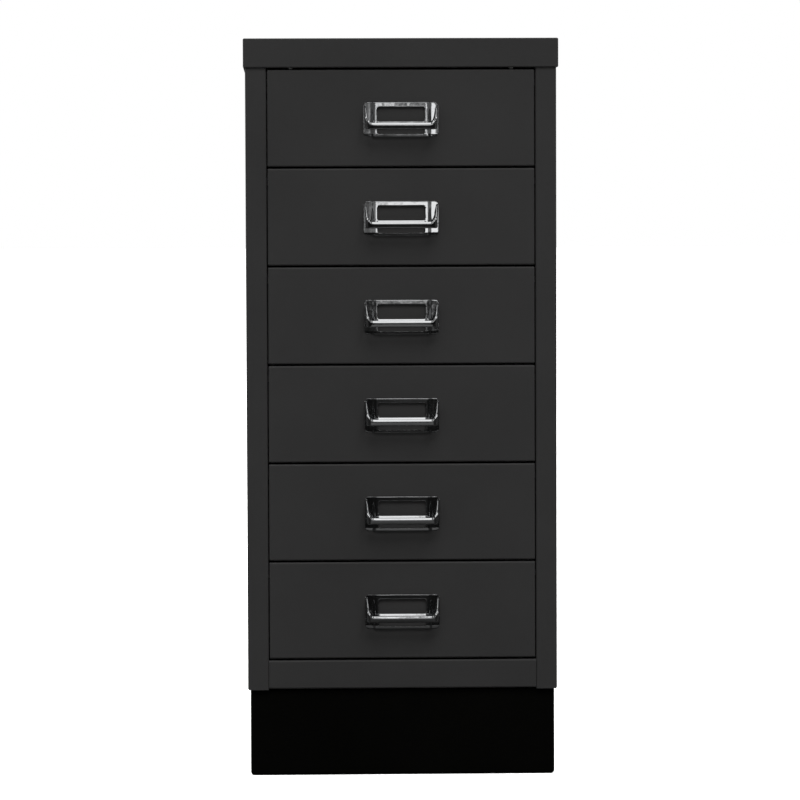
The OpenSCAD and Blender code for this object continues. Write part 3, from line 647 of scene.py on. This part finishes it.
def pressedPlate():
    # Two patches meet along the rail between window and slot. In each, rays from the middle of its opening
    # run from the opening's outline to the patch's. Rays that end on the meeting line use the same places x
    # in both, and the faces on that line are left out, so that the patches weld into one sheet.
    form = pullForm
    half, height = form["width"] / 2, form["height"]
    w = half - form["ear"] - form["joggle"] - form["frameSide"]
    windowLow = form["windowDrop"]
    windowHigh = windowLow + form["windowHeight"]
    slotLow, slotHigh = windowHigh + form["midRail"], height - form["footRail"]
    meet = (windowHigh + slotLow) / 2
    r = form["cornerRadius"]
    leastStep, leastAngle, clear, touching = 0.08, 0.003, 0.02, 1e-6
    patches = []
    for low, high, hole, holeRadius, radii in (
            (0, meet, (windowLow, windowHigh), form["windowRadius"], [r, r, 0, 0]),
            (meet, height, (slotLow, slotHigh), form["slotRadius"], [0, 0, r, r])):
        centre = np.array([0, (hole[0] + hole[1]) / 2])
        outline = [[-half, low], [half, low], [half, high], [-half, high]]
        opening = [[-w, hole[0]], [w, hole[0]], [w, hole[1]], [-w, hole[1]]]
        outer = rays(bent(outline, radii, 7, closed=True), centre, form["outerStep"])
        inner = rays(bent(opening, holeRadius, 8, closed=True), centre, form["openingStep"])
        patches.append((centre, outer, inner))

    def whereMeeting(angle, centre):
        # Place x where a ray reaches the meeting line, or far outside for a ray that doesn't
        toLine = (meet - centre[1]) * np.sign(np.sin(angle))
        x = abs(meet - centre[1]) / np.maximum(np.abs(np.sin(angle)), 1e-6) * np.cos(angle)
        return np.where(toLine > 0, x, 2 * half)

    shared = np.sort(np.concatenate([whereMeeting(part[0], c) for c, *both in patches for part in both]))
    shared = shared[np.abs(shared) < half - leastStep]
    shared = np.concatenate([[-half], atLeast(shared, leastStep), [half]])
    start = np.array(form["edgeRows"])[:, None]
    inside = np.linspace(0, 1, form["innerRows"])[1:-1, None]
    border = form["edgeRows"][-1]
    out = []
    for centre, outer, inner in patches:
        angle = np.concatenate([outer[0], inner[0]])
        angle = np.sort(angle[np.abs(whereMeeting(angle, centre)) > half + clear])
        angle = atLeast(angle, leastAngle)
        line = np.stack([shared, np.full_like(shared, meet)], 1) - centre
        lineAngle = np.arctan2(line[:, 1], line[:, 0])
        angle = angle[np.abs(angle[:, None] - lineAngle[None]).min(1) > leastAngle]
        allFar = np.concatenate([np.interp(angle, *outer, period=2 * math.pi), np.linalg.norm(line, axis=1)])
        allAngle = np.concatenate([angle, lineAngle])
        order = np.argsort(allAngle)
        angle, far = allAngle[order], allFar[order]
        near = np.interp(angle, *inner, period=2 * math.pi)
        length = far - near
        between = border + (length - 2 * border) * inside
        d = np.concatenate([start + 0 * length, between, length - start[::-1]])
        x = (near + d) * np.cos(angle)
        b = (near + d) * np.sin(angle) + centre[1]
        grid = np.concatenate([platePoint(x, b, 1), platePoint(x, b, -1)[::-1]])
        points, faces = surface(grid, wrapRows=True)
        flatB = height - points[:, 2]
        faces = [face for face in faces if np.abs(flatB[face] - meet).max() > touching]
        out.append((points, faces))
    return out


def frameBead():
    # A ledge along the window's lower edge: a section with a sloping upper face, swept across and drawn in to
    # nothing at its ends
    form = pullForm
    half = form["width"] / 2 - form["ear"] - form["joggle"] - form["beadEnd"]
    face = form["sheet"] + form["pocket"]
    top = form["height"] - form["windowDrop"] - form["windowHeight"]
    root, tall, taper = form["beadRoot"], form["beadHeight"], form["beadTaper"]
    corners = [[-root, 0], [form["beadTop"], 0], [form["beadBulge"], -form["beadSlope"]],
               [form["beadFoot"], -tall], [-root, -tall]]
    section = bent(corners, form["beadRadii"], 6, closed=True)
    turn = np.linspace(0, math.pi / 2, 7)
    along = np.concatenate([-half + taper * (1 - np.cos(turn)), half - taper * (1 - np.cos(turn[::-1]))])
    size = np.maximum(np.concatenate([np.sin(turn), np.sin(turn[::-1])]), form["beadLeast"])[:, None]
    x = np.broadcast_to(along[:, None], (len(along), len(section)))
    y = -face - section[:, 0] * size
    z = top - tall / 2 + (section[:, 1] + tall / 2) * (0.5 + 0.5 * size)
    return surface(np.stack([x, y, z], 2))


def strapPath():
    # The strap's middle line in plan, from root to root in steps of at most strapStep, and the place x of its
    # right front corner
    form = pullForm
    t = form["sheet"] / 2
    root = form["width"] / 2 - form["cheekInset"] - t
    corner = root - form["cheekLean"]
    front = form["strapReach"] - t
    start = form["strapStart"]
    corners = [[-root, start], [-corner, front], [corner, front], [root, start]]
    path = bent(corners, form["strapRadius"] - t, 14)
    count = np.ceil(np.linalg.norm(np.diff(path, axis=0), axis=1) / form["strapStep"]).astype(int)
    parts = [np.linspace(p, q, n, endpoint=False) for p, q, n in zip(path, path[1:], count)]
    return np.concatenate(parts + [path[-1:]]), corner


def strapClimb(path, corner):
    # 0 along the front and 1 on the cheeks, with an even climb between them when the strap is laid flat. Both
    # ends of the climb are rounded: a maximum with 0 becomes (v + sqrt(v^2 + soft^2)) / 2.
    form = pullForm
    step = np.linalg.norm(np.diff(path, axis=0), axis=1)
    along = np.concatenate([[0], np.cumsum(step)])
    along = np.minimum(along, along[-1] - along)
    arc = (form["strapRadius"] - form["sheet"] / 2) * math.pi / 2
    cornerStart = along.max() - corner + form["strapRadius"]
    reach = arc + form["strapReach"] - form["strapRadius"] - form["cheekFlat"]
    soft = form["climbSoft"]

    def softened(value):
        return (value + np.sqrt(value ** 2 + soft ** 2)) / 2

    return 1 - softened(1 - softened((cornerStart - along) / reach))


def strapSection():
    # Middle line of the section: a sloping rim with its edge curled in, and below it a face that leans back a
    # little and ends in a small hem. The second value is 1 for the rim's points and 0 for the others.
    form = pullForm
    t, depth, tall, curled = form["sheet"] / 2, form["rimDepth"], form["rimHeight"], form["rimCurl"]
    nose, (rimIn, neckIn), neck = form["rimNose"], form["rimSetIn"], form["rimNeck"]
    corners = [[-depth - curled, -curled], [-depth - nose, -t], [-rimIn, -tall], [-neckIn, -tall - neck]]
    rim = bent(corners, form["rimRadii"], 6)
    turn = np.linspace(0, math.radians(form["hemTurn"]), 5)
    hem = form["hemRadius"]
    low = np.stack([-form["faceLean"] - hem * (1 - np.cos(turn)), hem * (1 - np.sin(turn))], 1)
    return np.concatenate([rim, low]), np.concatenate([np.ones(len(rim)), np.zeros(len(low))])


def pullStrap():
    # A band carried round a path in plan, its rim at the climbing upper edge and its hem at the level lower
    # edge. Both faces stand half the sheet from the middle line, and half circles close the section.
    form = pullForm
    t = form["sheet"] / 2
    path, corner = strapPath()
    out = normals2d(path)
    climb = strapClimb(path, corner)
    top = form["height"] - form["strapDrop"] + (form["strapDrop"] - form["cheekDrop"]) * climb
    low = form["height"] - form["strapDrop"] - form["strapHeight"]
    line, ofRim = strapSection()
    normal = normals2d(line + np.outer(ofRim, [0, form["strapHeight"]]))
    onward = np.stack([normal[:, 1], -normal[:, 0]], 1)
    capTurn = np.linspace(0, math.pi, 5)[1:-1, None]
    centre = np.concatenate([line, line[[-1] * 3], line[::-1], line[[0] * 3]])
    offset = t * np.concatenate([
        normal, np.cos(capTurn) * normal[-1] + np.sin(capTurn) * onward[-1],
        -normal[::-1], -np.cos(capTurn) * normal[0] - np.sin(capTurn) * onward[0],
    ])
    upper = np.concatenate([ofRim, np.zeros(3), ofRim[::-1], np.ones(3)])
    size = 1 - (1 - form["rimAtRoot"]) * climb[:, None] * upper
    z = np.where(upper, top[:, None], low) + centre[:, 1] * size + offset[:, 1]
    reach = centre[:, 0] * size + offset[:, 0]
    plan = path[:, None] + reach[:, :, None] * out[:, None]
    return surface(np.stack([plan[:, :, 0], -plan[:, :, 1], z], 2))


def pullTabs():
    # The four tabs go through the front and are bent over behind it
    form = pullForm
    t, half = form["sheet"], form["width"] / 2
    parts = []
    for side in (-1, 1):
        middle, reach = side * (half - t / 2), form["tabReach"]
        line = [[middle, -t / 2], [middle, reach], [middle - side * form["tabHook"], reach + t / 4]]
        section = sheetSection(line, t, form["tabBend"])
        for z in (form["tabInset"], form["height"] - form["tabInset"] - form["tabWidth"]):
            parts.append(carried(section, "z", z, z + form["tabWidth"]))
    return parts


pullParts = [*pressedPlate(), frameBead(), pullStrap(), *pullTabs()]
pullSharp = 60
for i in range(1, drawerCount + 1):
    place = np.array([0, box(f"drawer_{i}_front")[0][1], box(f"drawer_{i}_handle")[0][2]])
    moved = [(points + place, faces) for points, faces in pullParts]
    makePiece(f"drawer_{i}_pull", moved, chrome, f"drawer_{i}", "handle_chrome", f"drawer_{i}_handle",
              sharp=pullSharp)
print("handles made")


# Buffers above the top drawer: a domed head, a neck through the rail and a barb above it

bufferForm = {
    "head": [(0.6, 0), (1.3, 0.05), (1.75, 0.35), (2.05, 0.8)], "headHeight": 1.15, "neck": 1.3,
    "neckTop": 2.95, "barb": (1.9, 3.4),
}


def buffers():
    form = bufferForm
    low, high = box("top_stop_buffers")
    r, neck = (high[1] - low[1]) / 2, form["neck"]
    profile = [*form["head"], (r, form["headHeight"]), (neck, form["headHeight"]), (neck, form["neckTop"]),
               (r, form["neckTop"]), form["barb"], (neck, high[2] - low[2])]
    middle = (low[1] + high[1]) / 2
    parts = [turnedRound(profile, [x, middle, low[2]]) for x in (low[0] + r, high[0] - r)]
    makePiece("gap_buffers", parts, rubber, "cabinet", "buffer_rubber", "top_stop_buffers")


buffers()
print("buffers made")


# Folded parts, rivets, runners and glides keep the shape of their node

def slotOf(name):
    if name.endswith(("_pads", "_glides")):
        return "nylon"
    if name.startswith("runner_") or name.endswith(("_nuts", "_bolts", "_rivets")):
        return "zinc_steel"
    return "body_paint"


slotMaterials = {"body_paint": bodyPaint, "zinc_steel": zinc, "nylon": nylon}
for name in sorted(nodes):
    if not nodes[name].hide_render:
        dressNode(name, slotMaterials[slotOf(name)])
print("folded parts finished")


# Floor, light and camera

def plate(name, centre, along, across, material):
    # A flat card from its middle and its two half sides
    centre, along, across = Vector(centre), Vector(along), Vector(across)
    corners = [centre + along * a + across * b for a, b in ((-1, -1), (1, -1), (1, 1), (-1, 1))]
    mesh = bpy.data.meshes.new(name)
    mesh.from_pydata([tuple(c) for c in corners], [], [(0, 1, 2, 3)])
    mesh.materials.append(material)
    item = bpy.data.objects.new(name, mesh)
    bpy.context.scene.collection.objects.link(item)
    return item


studio = {
    "halfWidth": 30, "floor": 0.84, "floorShade": 0.98, "floorGrain": 300, "roughness": 0.9, "gloss": 0.1,
    "floorForLight": 0.3, "floorInMetal": (0.005, 0.05), "metalFrom": 0.35, "metalTo": 1.0,
    "metalSide": (0.15, 0.5), "floorLift": 0.5, "whiteFrom": 0.5, "whiteAt": 2.2,
    "skyForBackground": 1.0, "skyForLight": 0.32,
}


def studioFloor():
    # White paper: the camera sees it lifted to white with distance, so only the object's shadow is left.
    # Polished metal sees it as dark, with a dim path in front of the object. Other light sees it as grey.
    finish = Finish("floorPaper", {
        "Roughness": studio["roughness"], "Specular IOR Level": studio["gloss"], "Emission Strength": 1.0})

    def seenBy(ray):
        return finish.add("ShaderNodeLightPath", {}, {}, ray)

    bright, shaded = grey(studio["floor"]), grey(studio["floor"] * studio["floorShade"])
    paper = finish.mix(finish.noise(studio["floorGrain"], 3), bright, shaded)
    away = finish.add("ShaderNodeVectorMath", {"operation": "LENGTH"}, {0: finish.place}, "Value")
    sideways, forward = (finish.add("ShaderNodeSeparateXYZ", {}, {0: finish.place}, axis) for axis in "XY")
    forward = finish.add("ShaderNodeMapRange", {}, {
        "Value": forward, "From Min": -studio["metalFrom"], "From Max": -studio["metalTo"]})
    sideways = finish.add("ShaderNodeMapRange", {}, {
        "Value": finish.maths("ABSOLUTE", sideways, 0.0), "From Min": studio["metalSide"][1],
        "From Max": studio["metalSide"][0]})
    dim = finish.mix(forward * sideways, *(grey(value) for value in studio["floorInMetal"]))
    unseen = finish.mix(seenBy("Is Glossy Ray"), grey(studio["floorForLight"]), dim)
    colour = finish.mix(seenBy("Is Camera Ray"), unseen, paper)
    far = finish.add("ShaderNodeMapRange", {"interpolation_type": "SMOOTHSTEP"}, {
        "Value": away, "From Min": studio["whiteFrom"], "From Max": studio["whiteAt"],
        "To Min": studio["floorLift"], "To Max": 1.0})
    lift = finish.mix(seenBy("Is Camera Ray") * far, grey(0), grey(1))
    finish.feed(Base_Color=colour, Emission_Color=lift)
    half = studio["halfWidth"]
    plate("floor", (0, 0, 0), (half, 0, 0), (0, half, 0), finish.material)


def studioSky():
    # White where it is seen directly, in metal or through glass, and a plain level of light for the rest
    world = bpy.data.worlds.new("studioSky")
    world.use_nodes = True
    bpy.context.scene.world = world
    tree = world.node_tree
    path = tree.nodes.new("ShaderNodeLightPath")
    seen = path.outputs["Is Camera Ray"]
    for ray in ("Is Glossy Ray", "Is Transmission Ray"):
        either = tree.nodes.new("ShaderNodeMath")
        either.operation = "MAXIMUM"
        tree.links.new(seen, either.inputs[0])
        tree.links.new(path.outputs[ray], either.inputs[1])
        seen = either.outputs[0]
    level = tree.nodes.new("ShaderNodeMapRange")
    level.inputs["To Min"].default_value = studio["skyForLight"]
    level.inputs["To Max"].default_value = studio["skyForBackground"]
    tree.links.new(seen, level.inputs["Value"])
    background = tree.nodes["Background"]
    background.inputs["Color"].default_value = (1, 1, 1, 1)
    tree.links.new(level.outputs[0], background.inputs["Strength"])


# Place, target, width, height and power of each lamp
lamps = {
    "keyLight": ((2.0, -10.8, 16.9), (0, 0, 0.35), 14.0, 9.0, 6200),
    "fillLight": ((-5.2, -5.6, 5.4), (0, 0, 0.35), 4.0, 3.0, 110),
    "backLight": ((0.8, 4.5, 4.2), (0, 0, 0.4), 4.0, 3.0, 110),
    "leftLight": ((-5.0, 1.2, 3.6), (0, 0.2, 0.35), 3.0, 2.4, 150),
    "rightLight": ((5.0, 1.2, 3.6), (0, 0.2, 0.35), 3.0, 2.4, 110),
}


def softLight(name, place, target, width, height, power):
    # A large lamp that metal doesn't show, since it sees the cards of the dark room instead
    data = bpy.data.lights.new(name, "AREA")
    data.shape, data.size, data.size_y, data.energy = "RECTANGLE", width, height, power
    lamp = bpy.data.objects.new(name, data)
    lamp.location = place
    lamp.rotation_euler = (Vector(target) - Vector(place)).to_track_quat("-Z", "Y").to_euler()
    lamp.visible_glossy = False
    bpy.context.scene.collection.objects.link(lamp)


# What the metal sees, as pairs of a place in metres and a brightness. The wall stands in front of the object:
# band and top are its levels going up, and bandSides and topSides dim them across. The lamp on it is cut off
# by a slanted edge. overhead is the ceiling's level from the wall backwards, overheadSides dims it across.
roomForm = {
    "distance": 1.1, "halfWidth": 4.0, "height": 1.6, "depth": 1.6,
    "band": [(0.0, 0.006), (0.22, 0.008), (0.30, 0.025), (0.38, 0.09), (0.44, 0.8), (0.47, 1.15),
             (0.51, 1.15), (0.54, 0.3), (0.57, 0.06), (1.25, 0.02), (1.4, 1.2), (1.6, 1.4)],
    "bandSides": [(-4.0, 0.1), (-0.3, 0.15), (-0.04, 0.06), (-0.004, 0.5), (0.01, 1.0), (0.06, 1.0),
                  (0.1, 0.15), (4.0, 0.1)],
    "top": [(0.0, 0), (0.55, 0), (0.59, 1.0), (0.66, 1.0), (0.8, 0.3), (1.6, 0.2)],
    "topSides": [(-4.0, 0.02), (-0.3, 0.06), (-0.06, 0.13), (-0.015, 0.5), (0.0, 0.9), (0.012, 0.4),
                 (0.025, 0.03), (0.055, 0.03), (0.08, 0.2), (0.3, 0.1), (4.0, 0.02)],
    "lamp": 1.5, "lampFrom": (0.06, 0.08), "lampTo": (0.26, 0.3), "lampSlant": 1.1, "lampMiddle": 0.49,
    "lampAbove": (0.42, 0.46), "lampBelow": (0.61, 0.66),
    "overhead": [(-1.1, 1.8), (-0.82, 1.7), (-0.76, 0.6), (-0.7, 0.1), (-0.64, 0.15), (-0.59, 1.7),
                 (-0.18, 1.3), (-0.14, 0.1), (-0.1, 0.02), (0.0, 0.02), (0.03, 0.9), (1.6, 0.9)],
    "overheadSides": [(-4.0, 0.02), (-0.76, 0.03), (-0.62, 0.6), (-0.44, 0.6), (-0.3, 0.03), (-0.18, 0.03),
                      (-0.07, 1.0), (0.12, 1.0), (0.26, 0.03), (0.34, 0.03), (0.48, 0.6), (0.62, 0.6),
                      (0.76, 0.03), (4.0, 0.02)],
}


class CardFinish(Finish):
    # A glowing card's material, with ramps along its own coordinates in metres
    def __init__(self, name):
        super().__init__(name, {"Roughness": 1.0, "Emission Strength": 1.0, "Base Color": grey(0)})

    def axis(self, letter):
        return self.add("ShaderNodeSeparateXYZ", {}, {0: self.place}, letter)

    def along(self, value, stops):
        low, high = stops[0][0], stops[-1][0]
        place = (value - low) * (1 / (high - low))
        return self.ramp(place, *[((x - low) / (high - low), v) for x, v in stops])

    def rising(self, value, start, end):
        return self.add("ShaderNodeMapRange", {}, {"Value": value, "From Min": start, "From Max": end})


def reflectedCard(name, centre, along, across, finish, level):
    # A card that only reflections see
    finish.feed(Emission_Color=finish.mix(level, grey(0), grey(1)))
    card = plate(name, centre, along, across, finish.material)
    card.visible_camera = card.visible_diffuse = card.visible_shadow = card.visible_transmission = False


def roomWall():
    # Dark, with one bright band across it and a lamp to the right of the band's middle
    form = roomForm
    finish = CardFinish("roomWall")
    across, up = finish.axis("X"), finish.axis("Z")
    slanted = across + (up - form["lampMiddle"]) * form["lampSlant"]
    sides = finish.rising(across, *form["lampFrom"]) * (1 - finish.rising(slanted, *form["lampTo"]))
    ends = finish.rising(up, *form["lampAbove"]) * (1 - finish.rising(up, *form["lampBelow"]))
    band = finish.along(up, form["band"]) * finish.along(across, form["bandSides"])
    top = finish.along(up, form["top"]) * finish.along(across, form["topSides"])
    level = band + sides * ends * form["lamp"] + top
    half = form["height"] / 2
    centre = (0, -form["distance"], half)
    reflectedCard("wallCard", centre, (form["halfWidth"], 0, 0), (0, 0, half), finish, level)


def roomCeiling():
    # Lit in front of the object and behind it, and dark straight above it
    form = roomForm
    finish = CardFinish("roomCeiling")
    across, away = finish.axis("X"), finish.axis("Y")
    level = finish.along(away, form["overhead"]) * finish.along(across, form["overheadSides"])
    reach = (form["depth"] + form["distance"]) / 2
    centre = (0, (form["depth"] - form["distance"]) / 2, form["height"])
    reflectedCard("ceilingCard", centre, (form["halfWidth"], 0, 0), (0, reach, 0), finish, level)


# Place in metres, turn in degrees about X, Y and Z from looking along +Y, lens and sensor in millimetres
cameraForm = {"place": (-0.109, -3.981, 0.529), "turn": (-2.921, 0.196, -1.629), "lens": 192.92, "sensor": 36}


def photoCamera():
    data = bpy.data.cameras.new("camera")
    data.sensor_width, data.lens = cameraForm["sensor"], cameraForm["lens"]
    camera = bpy.data.objects.new("camera", data)
    tilt, roll, yaw = (math.radians(v) for v in cameraForm["turn"])
    turn = Matrix.Rotation(yaw, 4, "Z") @ Matrix.Rotation(roll, 4, "Y") @ Matrix.Rotation(tilt, 4, "X")
    upright = Matrix.Rotation(math.pi / 2, 4, "X")
    camera.matrix_world = Matrix.Translation(cameraForm["place"]) @ turn @ upright
    bpy.context.scene.collection.objects.link(camera)
    bpy.context.scene.camera = camera


studioFloor()
studioSky()
for name, values in lamps.items():
    softLight(name, *values)
roomWall()
roomCeiling()
photoCamera()
bpy.context.scene.view_settings.view_transform = "Standard"
print("studio made")
